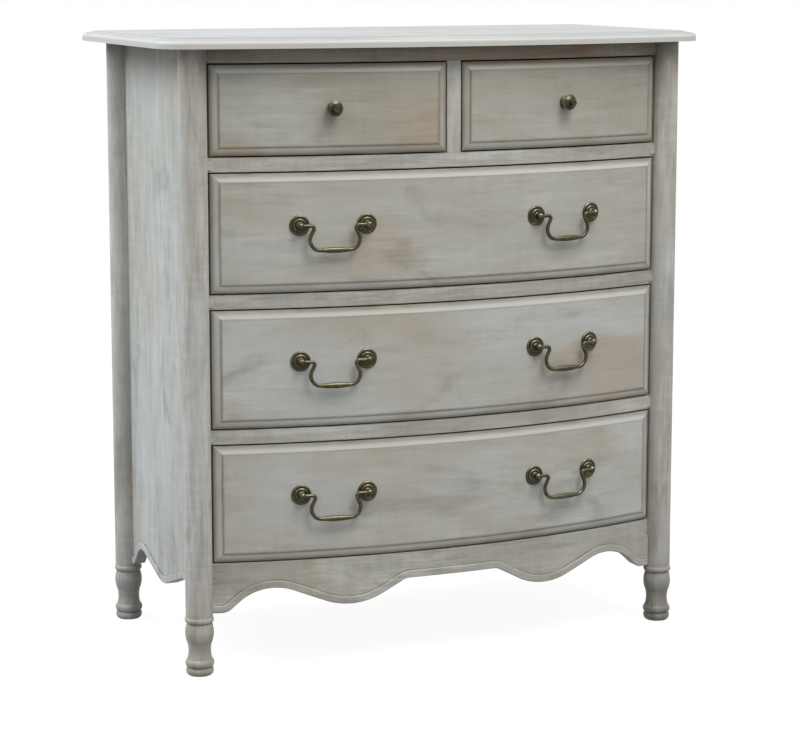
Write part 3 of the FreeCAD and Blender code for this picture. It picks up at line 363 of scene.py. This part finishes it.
grainTurn = {"x": (0, 0, 0), "y": (0, 0, radians(-90)), "z": (0, radians(90), 0)}
edgeShape = {"samples": 4, "facing": (0.80, 0.995, 1.0, 0.0)}
recessSamples = 8


def newMaterial(name):
    material = bpy.data.materials.new(name)
    material.use_nodes = True
    tree = material.node_tree
    shader = tree.nodes["Principled BSDF"]
    place = tree.nodes.new("ShaderNodeTexCoord").outputs["Object"]
    return material, tree, shader, place


def recessMask(tree, reach, low, high):
    # how far a spot sits inside its own piece's hollows
    shelter = tree.nodes.new("ShaderNodeAmbientOcclusion")
    shelter.samples = recessSamples
    shelter.only_local = True
    shelter.inputs["Distance"].default_value = reach
    return rangeNode(tree, shelter.outputs["AO"], low, high, 1.0, 0.0)


def edgeMask(tree, radius, recess):
    # sharp edges, less those in hollows
    soft = tree.nodes.new("ShaderNodeBevel")
    soft.samples = edgeShape["samples"]
    soft.inputs["Radius"].default_value = radius
    across = tree.nodes.new("ShaderNodeVectorMath")
    across.operation = "DOT_PRODUCT"
    feed(tree, across.inputs[0], soft.outputs[0])
    feed(tree, across.inputs[1], tree.nodes.new("ShaderNodeNewGeometry").outputs["Normal"])
    edge = rangeNode(tree, across.outputs["Value"], *edgeShape["facing"])
    return times(tree, edge, minus(tree, 1.0, recess), True)


def addBump(tree, shader, height, strength, distance):
    bump = tree.nodes.new("ShaderNodeBump")
    bump.inputs["Strength"].default_value = strength
    bump.inputs["Distance"].default_value = distance
    feed(tree, bump.inputs["Height"], height)
    feed(tree, shader.inputs["Normal"], bump.outputs[0])


def dress(name, material):
    piece = nodes[name]
    piece.data.materials.clear()
    piece.data.materials.append(material)


# bare wood of the drawer boxes, also seen behind the painted fronts

bareWood = {
    "early": rgb(206, 186, 154), "late": rgb(176, 148, 110), "stain": rgb(158, 132, 100),
    "dust": rgb(98, 80, 60), "contrast": 0.7, "seedShift": (1.19, 0.63, 0.87),
    "recessReach": 0.02, "recessLow": 0.3, "recessHigh": 0.9, "edgeRadius": 0.0012,
    "dustAmount": 0.45, "rubAmount": 0.35, "specular": 0.25, "bumpStrength": 0.3, "bumpDepth": 0.0004,
}

# paint: what all painted pieces share, heights and depths in metres

paint = {
    "seedShift": (1.37, 0.71, 0.53), "specular": 0.35, "bumpStrength": 0.22, "bumpDepth": 0.0005,
    # facing ranges of the nose's painted highlight; height band of the painted shade under the top
    "noseOver": (0.55, 0.97, 1.0, 0.0), "noseUnder": (-0.7, -0.1, 0.0, 1.0),
    "overhang": (0.955, 1.085), "bareDepth": (0.005, 0.007),
}


def seedPlace(seed, steps):
    return tuple(seed * step for step in steps)


def sawnColors(tree, look, vector):
    return useGroup(tree, sawnGrain, Vector=vector, Early=look["early"], Late=look["late"], Stain=look["stain"],
                    Contrast=look["contrast"])


def limedMaterial(name, look, seed, front=None):
    material, tree, shader, place = newMaterial(name)
    path = useGroup(tree, bowPlace, Vector=place)["Vector"] if look.get("bowed") else place
    shift = seedPlace(seed, paint["seedShift"])
    grain = stretchNode(tree, path, (1, 1, 1), shift, grainTurn[look["grain"]])
    if front:
        # the border's end pieces have upright grain
        lines = useGroup(tree, frontLines, Vector=place, **front)
        upright = stretchNode(tree, path, (1, 1, 1), shift, grainTurn["z"])
        swap = tree.nodes.new("ShaderNodeMix")
        swap.data_type = "VECTOR"
        feed(tree, swap.inputs[0], lines["Upright"])
        feed(tree, swap.inputs[4], grain)
        feed(tree, swap.inputs[5], upright)
        grain = swap.outputs[1]
    wood = useGroup(tree, limedGrain, Vector=grain, Body=look["body"], Pale=look["pale"], Warm=look["warm"],
                    Shade=look["shade"], Patches=look["patches"], Streaks=look["streaks"], Smudges=look["smudges"])
    color = wood["Color"]
    recess = recessMask(tree, look["recessReach"], look["recessLow"], look["recessHigh"])
    edge = edgeMask(tree, look["edgeRadius"], recess)
    if front:
        # the front's dark lines join the glaze: glaze, with painted shade of the gap at the rim
        recess = mathNode(tree, "MAXIMUM", recess, lines["Line"])
        # painted highlight on the top border, weaker on the small drawers under the top
        color = mixNode(tree, times(tree, lines["Top"], look["topHighlight"]), color, look["ridgeHighlight"])
    if "noseRubAndHighlight" in look:
        # moulded edge painted pale where it faces front: rubbed wear and painted highlight, its underside left alone
        facing = splitNode(tree, place.node.outputs["Normal"])[2]
        nose = times(tree, rangeNode(tree, facing, *paint["noseOver"]), rangeNode(tree, facing, *paint["noseUnder"]))
        color = mixNode(tree, times(tree, nose, look["noseRubAndHighlight"]), color, look["rub"])
    if "floorDirtAndShade" in look:
        # darker near the floor, dirt with painted shade, and painted shade under the overhang of the top, both laid
        # on in the glaze colour
        height = splitNode(tree, place)[2]
        low = rangeNode(tree, height, 0.0, look["floorDirtAndShadeHeight"], look["floorDirtAndShade"], 0.0)
        high = rangeNode(tree, height, *paint["overhang"], 0.0, look["shelter"])
        recess = plus(tree, recess, plus(tree, low, high), True)
    amounts = {"Glaze Amount": look["glazeAmount"], "Rub Amount": look["rubAmount"]}
    aged = useGroup(tree, glazeAndRub, Vector=grain, Color=color, Recess=recess, Edge=edge,
                    Glaze=look["glaze"], Rub=look["rub"], **amounts)
    color = aged["Color"]
    if front:
        behind = splitNode(tree, path)[1]
        timber = sawnColors(tree, bareWood, grain)
        color = mixNode(tree, rangeNode(tree, behind, *paint["bareDepth"]), color, timber["Color"])
    feed(tree, shader.inputs["Base Color"], color)
    feed(tree, shader.inputs["Roughness"], wood["Roughness"])
    shader.inputs["Specular IOR Level"].default_value = paint["specular"]
    addBump(tree, shader, wood["Height"], paint["bumpStrength"], paint["bumpDepth"])
    return material


def sawnMaterial(name, look, grain, seed):
    material, tree, shader, place = newMaterial(name)
    along = stretchNode(tree, place, (1, 1, 1), seedPlace(seed, look["seedShift"]), grainTurn[grain])
    wood = sawnColors(tree, look, along)
    recess = recessMask(tree, look["recessReach"], look["recessLow"], look["recessHigh"])
    edge = edgeMask(tree, look["edgeRadius"], recess)
    amounts = {"Glaze Amount": look["dustAmount"], "Rub Amount": look["rubAmount"]}
    aged = useGroup(tree, glazeAndRub, Vector=along, Color=wood["Color"], Recess=recess, Edge=edge,
                    Glaze=look["dust"], Rub=look["early"], **amounts)
    feed(tree, shader.inputs["Base Color"], aged["Color"])
    feed(tree, shader.inputs["Roughness"], wood["Roughness"])
    shader.inputs["Specular IOR Level"].default_value = look["specular"]
    addBump(tree, shader, wood["Height"], look["bumpStrength"], look["bumpDepth"])
    return material


# top, painted paler than the case

topPanel = {
    "grain": "x", "body": rgb(167, 170, 172), "pale": rgb(179, 185, 188), "warm": rgb(171, 168, 161),
    "shade": rgb(152, 152, 147), "patches": 0.6, "streaks": 0.35, "smudges": 0.3,
    "glaze": rgb(152, 146, 137), "rub": rgb(212, 211, 206), "glazeAmount": 0.2, "rubAmount": 0.6,
    "recessReach": 0.010, "recessLow": 0.35, "recessHigh": 0.9, "edgeRadius": 0.0035,
    "noseRubAndHighlight": 0.75, "seed": 15.8,
}
dress("top_panel", limedMaterial("limedTop", topPanel, topPanel["seed"]))

# sides: upright brush marks with a blue-white bloom

sidePanels = {
    "grain": "z", "body": rgb(184, 187, 183), "pale": rgb(200, 206, 206), "warm": rgb(186, 181, 172),
    "shade": rgb(142, 141, 135), "patches": 0.8, "streaks": 0.72, "smudges": 0.6,
    "glaze": rgb(104, 92, 76), "rub": rgb(206, 207, 202), "glazeAmount": 0.75, "rubAmount": 0.6,
    "recessReach": 0.014, "recessLow": 0.6, "recessHigh": 0.93, "edgeRadius": 0.0042,
    # darker towards the floor (dirt with painted shade) and painted shade under the top
    "floorDirtAndShade": 0.15, "floorDirtAndShadeHeight": 0.3, "shelter": 0.85, "seeds": {"left": 2.3, "right": 3.3},
}
for side, seed in sidePanels["seeds"].items():
    dress("side_panel_" + side, limedMaterial("limedSide." + side, sidePanels, seed))

# turned posts and feet

cornerPosts = {
    "grain": "z", "body": rgb(181, 178, 170), "pale": rgb(195, 196, 193), "warm": rgb(183, 174, 160),
    "shade": rgb(132, 126, 115), "patches": 0.9, "streaks": 0.85, "smudges": 0.5,
    "glaze": rgb(80, 70, 56), "rub": rgb(200, 198, 189), "glazeAmount": 0.95, "rubAmount": 0.5,
    "recessReach": 0.012, "recessLow": 0.62, "recessHigh": 0.95, "edgeRadius": 0.002,
    # darker towards the floor (dirt with painted shade) and painted shade under the top
    "floorDirtAndShadeHeight": 0.17, "shelter": 0.50,
}
posts = {
    "front_left": {"floorDirtAndShade": 0.34, "seed": 12.5},
    # front right post darkest low down: dirt with painted shade, as the chest shades it
    "front_right": {"floorDirtAndShade": 0.95, "seed": 17.2},
    "back_left": {"floorDirtAndShade": 0.42, "seed": 33.0},
    "back_right": {"floorDirtAndShade": 0.5, "seed": 8.1},
}
for corner, post in posts.items():
    look = dict(cornerPosts, floorDirtAndShade=post["floorDirtAndShade"])
    dress("corner_post_" + corner, limedMaterial("limedPost." + corner, look, post["seed"]))

# bowed rails, their edges painted dark: glaze and painted shade beside the drawer gaps

rails = {
    "grain": "x", "bowed": True, "body": rgb(174, 171, 162), "pale": rgb(192, 194, 190), "warm": rgb(176, 166, 151),
    "shade": rgb(134, 127, 115), "patches": 0.9, "streaks": 0.8, "smudges": 0.5,
    "glaze": rgb(74, 63, 48), "rub": rgb(108, 98, 82), "glazeAmount": 0.8, "rubAmount": 0.7,
    "recessReach": 0.010, "recessLow": 0.35, "recessHigh": 0.9, "edgeRadius": 0.0035,
    "seeds": {"drawer_rail_upper": 20.8, "drawer_rail_middle": 10.7, "drawer_rail_lower": 11.7, "bottom_rail": 12.7},
}
for rail, seed in rails["seeds"].items():
    dress(rail, limedMaterial("limedRail." + rail, rails, seed))

# top rail, browner glaze and painted darker as painted shade under the top

topRail = dict(rails, body=rgb(147, 135, 117), pale=rgb(158, 149, 133), warm=rgb(140, 124, 102),
               shade=rgb(112, 101, 84), seed=14.1)
dress("top_rail", limedMaterial("limedRail.top_rail", topRail, topRail["seed"]))

# upright divider between the small drawers

divider = dict(rails, grain="z", bowed=False, seed=15.2)
dress("drawer_divider", limedMaterial("limedDivider", divider, divider["seed"]))

# apron, the edges of its bead painted pale

apron = dict(rails, body=rgb(169, 166, 157), pale=rgb(190, 190, 183), rub=rgb(206, 205, 198), rubAmount=0.75,
             recessReach=0.012, recessLow=0.6, recessHigh=0.93, edgeRadius=0.0042, seed=17.9)
dress("front_apron", limedMaterial("limedApron", apron, apron["seed"]))
print("case painted")

# drawer fronts: flat field, dark line at the foot of a mitred border, bare wood behind the painted face

drawerFronts = {
    "grain": "x", "bowed": True, "body": rgb(181, 180, 171), "pale": rgb(196, 199, 197), "warm": rgb(182, 172, 157),
    "shade": rgb(144, 138, 126), "patches": 0.85, "streaks": 0.36, "smudges": 0.5,
    "glaze": rgb(92, 84, 68), "rub": rgb(200, 200, 193), "glazeAmount": 0.8, "rubAmount": 0.45,
    "recessReach": 0.006, "recessLow": 0.35, "recessHigh": 0.9, "edgeRadius": 0.0018,
    # painted highlight along the top border: its strength and colour
    "border": 0.014, "lineWidth": 0.0042, "topHighlight": 0.95, "ridgeHighlight": rgb(214, 214, 208),
}
# small drawers under the top: painted darker as painted shade of the overhang, with a weaker painted highlight on the
# top border
smallFronts = dict(drawerFronts, body=rgb(168, 164, 152), pale=rgb(183, 184, 178), warm=rgb(169, 158, 141),
                   topHighlight=0.7)
drawers = {
    "small_left": {"look": smallFronts, "seed": 21.3},
    "small_right": {"look": smallFronts, "seed": 34.3},
    "middle": {"look": drawerFronts, "seed": 43.6},
    "lower": {"look": dict(drawerFronts, body=rgb(186, 185, 177)), "seed": 38.1},
    "bottom": {"look": dict(drawerFronts, body=rgb(185, 182, 172)), "seed": 43.7},
}
for drawer, coat in drawers.items():
    name = "drawer_" + drawer + "_front"
    low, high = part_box(name)
    front = {"Left": low.x, "Right": high.x, "Low": low.z, "High": high.z,
             "Border": drawerFronts["border"], "Width": drawerFronts["lineWidth"]}
    dress(name, limedMaterial("limedFront." + drawer, coat["look"], coat["seed"], front))
print("drawer fronts painted")

# drawer boxes and everything inside the case, grain along each piece's length

boxWood = {"firstSeed": 40.0, "seedStep": 1.3}
sawnPieces = ["top_cleats", "drawer_runners_left", "drawer_runners_right", "centre_runner", "drawer_guides",
              "drawer_stops"]
for drawer in drawers:
    sawnPieces += ["drawer_" + drawer + part for part in ("_side_left", "_side_right", "_back", "_bottom")]
# groups of several solids, where the group's box doesn't tell the length
longWay = {"drawer_guides": "y", "drawer_stops": "x", "top_cleats": "x", "drawer_runners_left": "y",
           "drawer_runners_right": "y"}
for count, name in enumerate(sawnPieces):
    low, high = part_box(name)
    size = high - low
    grain = longWay.get(name) or "xyz"[max(range(3), key=lambda axis: size[axis])]
    seed = boxWood["firstSeed"] + count * boxWood["seedStep"]
    dress(name, sawnMaterial("sawn." + name, bareWood, grain, seed))

# back and its rails, greyer and plainer

backWood = dict(bareWood, early=rgb(190, 172, 144), late=rgb(162, 139, 108), stain=rgb(144, 124, 98),
                contrast=0.45, seeds={"back_panel": 90.0, "back_top_rail": 91.7, "back_bottom_rail": 93.4})
for name, seed in backWood["seeds"].items():
    dress(name, sawnMaterial("sawn." + name, backWood, "x", seed))
print("inside pieces done")

# brass: knobs, roses and studs, swinging bails

# the pale colour is rubbed brass and also the painted reflection on up-facing parts; the dirt colour also paints
# shade on undersides
brassware = {
    "skin": rgb(72, 67, 51), "rubAndReflection": rgb(152, 146, 126), "dirt": rgb(36, 32, 24), "rubAmount": 0.75,
    "recessReach": 0.004, "recessLow": 0.45, "recessHigh": 0.92, "edgeRadius": 0.0012,
    "bumpStrength": 0.25, "bumpDepth": 0.0002,
}


def brassMaterial(name, look):
    material, tree, shader, place = newMaterial(name)
    recess = recessMask(tree, look["recessReach"], look["recessLow"], look["recessHigh"])
    edge = edgeMask(tree, look["edgeRadius"], recess)
    # which way a face points: painted reflection above, painted shade below
    upper = splitNode(tree, place.node.outputs["Normal"])[2]
    amounts = {"Rub Amount": look["rubAmount"]}
    metal = useGroup(tree, oldBrass, Vector=place, Recess=recess, Edge=edge, Upper=upper,
                     Skin=look["skin"], Rubbed=look["rubAndReflection"], Dirt=look["dirt"], **amounts)
    feed(tree, shader.inputs["Base Color"], metal["Color"])
    feed(tree, shader.inputs["Roughness"], metal["Roughness"])
    feed(tree, shader.inputs["Metallic"], metal["Metallic"])
    addBump(tree, shader, metal["Height"], look["bumpStrength"], look["bumpDepth"])
    return material


brass = {
    "pull_fittings": brassMaterial("oldBrass.fittings", brassware),
    "bail": brassMaterial("oldBrass.bails", dict(brassware, skin=rgb(74, 69, 51), rubAndReflection=rgb(134, 129, 108))),
    "knob": brassMaterial("oldBrass.knobs", dict(brassware, skin=rgb(68, 64, 52), rubAndReflection=rgb(134, 128, 111))),
}
for name in nodes:
    for start, material in brass.items():
        if name.startswith(start):
            dress(name, material)
print("brass done")

# floor: white to the camera, with the chest's own faint shadow

floorLook = {"size": 40.0, "tone": 0.13, "white": 0.93}


def seenDirectly(tree):
    # camera, mirror and glass rays see plain white
    path = tree.nodes.new("ShaderNodeLightPath").outputs
    seen = mathNode(tree, "MAXIMUM", path["Is Camera Ray"], path["Is Glossy Ray"])
    return mathNode(tree, "MAXIMUM", seen, path["Is Transmission Ray"])


def makeFloor():
    half = floorLook["size"] / 2
    mesh = bpy.data.meshes.new("floor")
    mesh.from_pydata([(-half, -half, 0), (half, -half, 0), (half, half, 0), (-half, half, 0)], [], [(0, 1, 2, 3)])
    floor = bpy.data.objects.new("floor", mesh)
    bpy.context.scene.collection.objects.link(floor)
    floor.location.z = cadBox[0].z
    material = bpy.data.materials.new("paleFloor")
    material.use_nodes = True
    tree = material.node_tree
    tree.nodes.remove(tree.nodes["Principled BSDF"])
    matt = tree.nodes.new("ShaderNodeBsdfDiffuse")
    matt.inputs["Color"].default_value = (floorLook["tone"],) * 3 + (1,)
    glow = tree.nodes.new("ShaderNodeEmission")
    feed(tree, glow.inputs["Strength"], times(tree, seenDirectly(tree), floorLook["white"]))
    both = tree.nodes.new("ShaderNodeAddShader")
    feed(tree, both.inputs[0], matt.outputs[0])
    feed(tree, both.inputs[1], glow.outputs[0])
    feed(tree, tree.nodes["Material Output"].inputs["Surface"], both.outputs[0])
    mesh.materials.append(material)


makeFloor()

# soft room light: even dome, a high panel in front and a cooler one on the left

roomLight = {
    "dome": 0.70, "white": 1.0, "aim": (0.0, 0.0, 0.55),
    "front": {"at": (0.6, -2.4, 4.3), "size": 2.0, "power": 110.0, "color": (1.0, 0.98, 0.945)},
    "left": {"at": (-3.4, 1.2, 3.5), "size": 2.4, "power": 116.0, "color": (0.95, 0.98, 1.0)},
}


def makeLights():
    aim = Vector(roomLight["aim"])
    for name in ("front", "left"):
        look = roomLight[name]
        lamp = bpy.data.lights.new(name + "Panel", "AREA")
        lamp.size = look["size"]
        lamp.energy = look["power"]
        lamp.color = look["color"]
        panel = bpy.data.objects.new(name + "Panel", lamp)
        panel.location = look["at"]
        panel.rotation_euler = (aim - panel.location).to_track_quat("-Z", "Y").to_euler()
        bpy.context.scene.collection.objects.link(panel)
    world = bpy.data.worlds.new("room")
    bpy.context.scene.world = world
    world.use_nodes = True
    tree = world.node_tree
    sky = tree.nodes["Background"]
    sky.inputs["Color"].default_value = (1, 1, 1, 1)
    strength = rangeNode(tree, seenDirectly(tree), 0.0, 1.0, roomLight["dome"], roomLight["white"])
    feed(tree, sky.inputs["Strength"], strength)


makeLights()
print("floor and light set")

# camera, worked out from the photograph's edges, degrees and millimetres

cameraView = {
    "at": (-1.7906, -4.0853, 1.2306), "turn": 23.662, "tilt": 8.993, "lens": 111.26, "sensor": 36.0,
    "shiftY": -0.03, "clipEnd": 100.0,
}


def makeCamera():
    data = bpy.data.cameras.new("photoCamera")
    data.sensor_width = cameraView["sensor"]
    data.lens = cameraView["lens"]
    data.shift_y = cameraView["shiftY"]
    data.clip_end = cameraView["clipEnd"]
    camera = bpy.data.objects.new("photoCamera", data)
    camera.location = cameraView["at"]
    camera.rotation_euler = (radians(90 - cameraView["tilt"]), 0, radians(-cameraView["turn"]))
    bpy.context.scene.collection.objects.link(camera)
    bpy.context.scene.camera = camera


makeCamera()
bpy.context.scene.view_settings.view_transform = "Standard"
print("camera set")
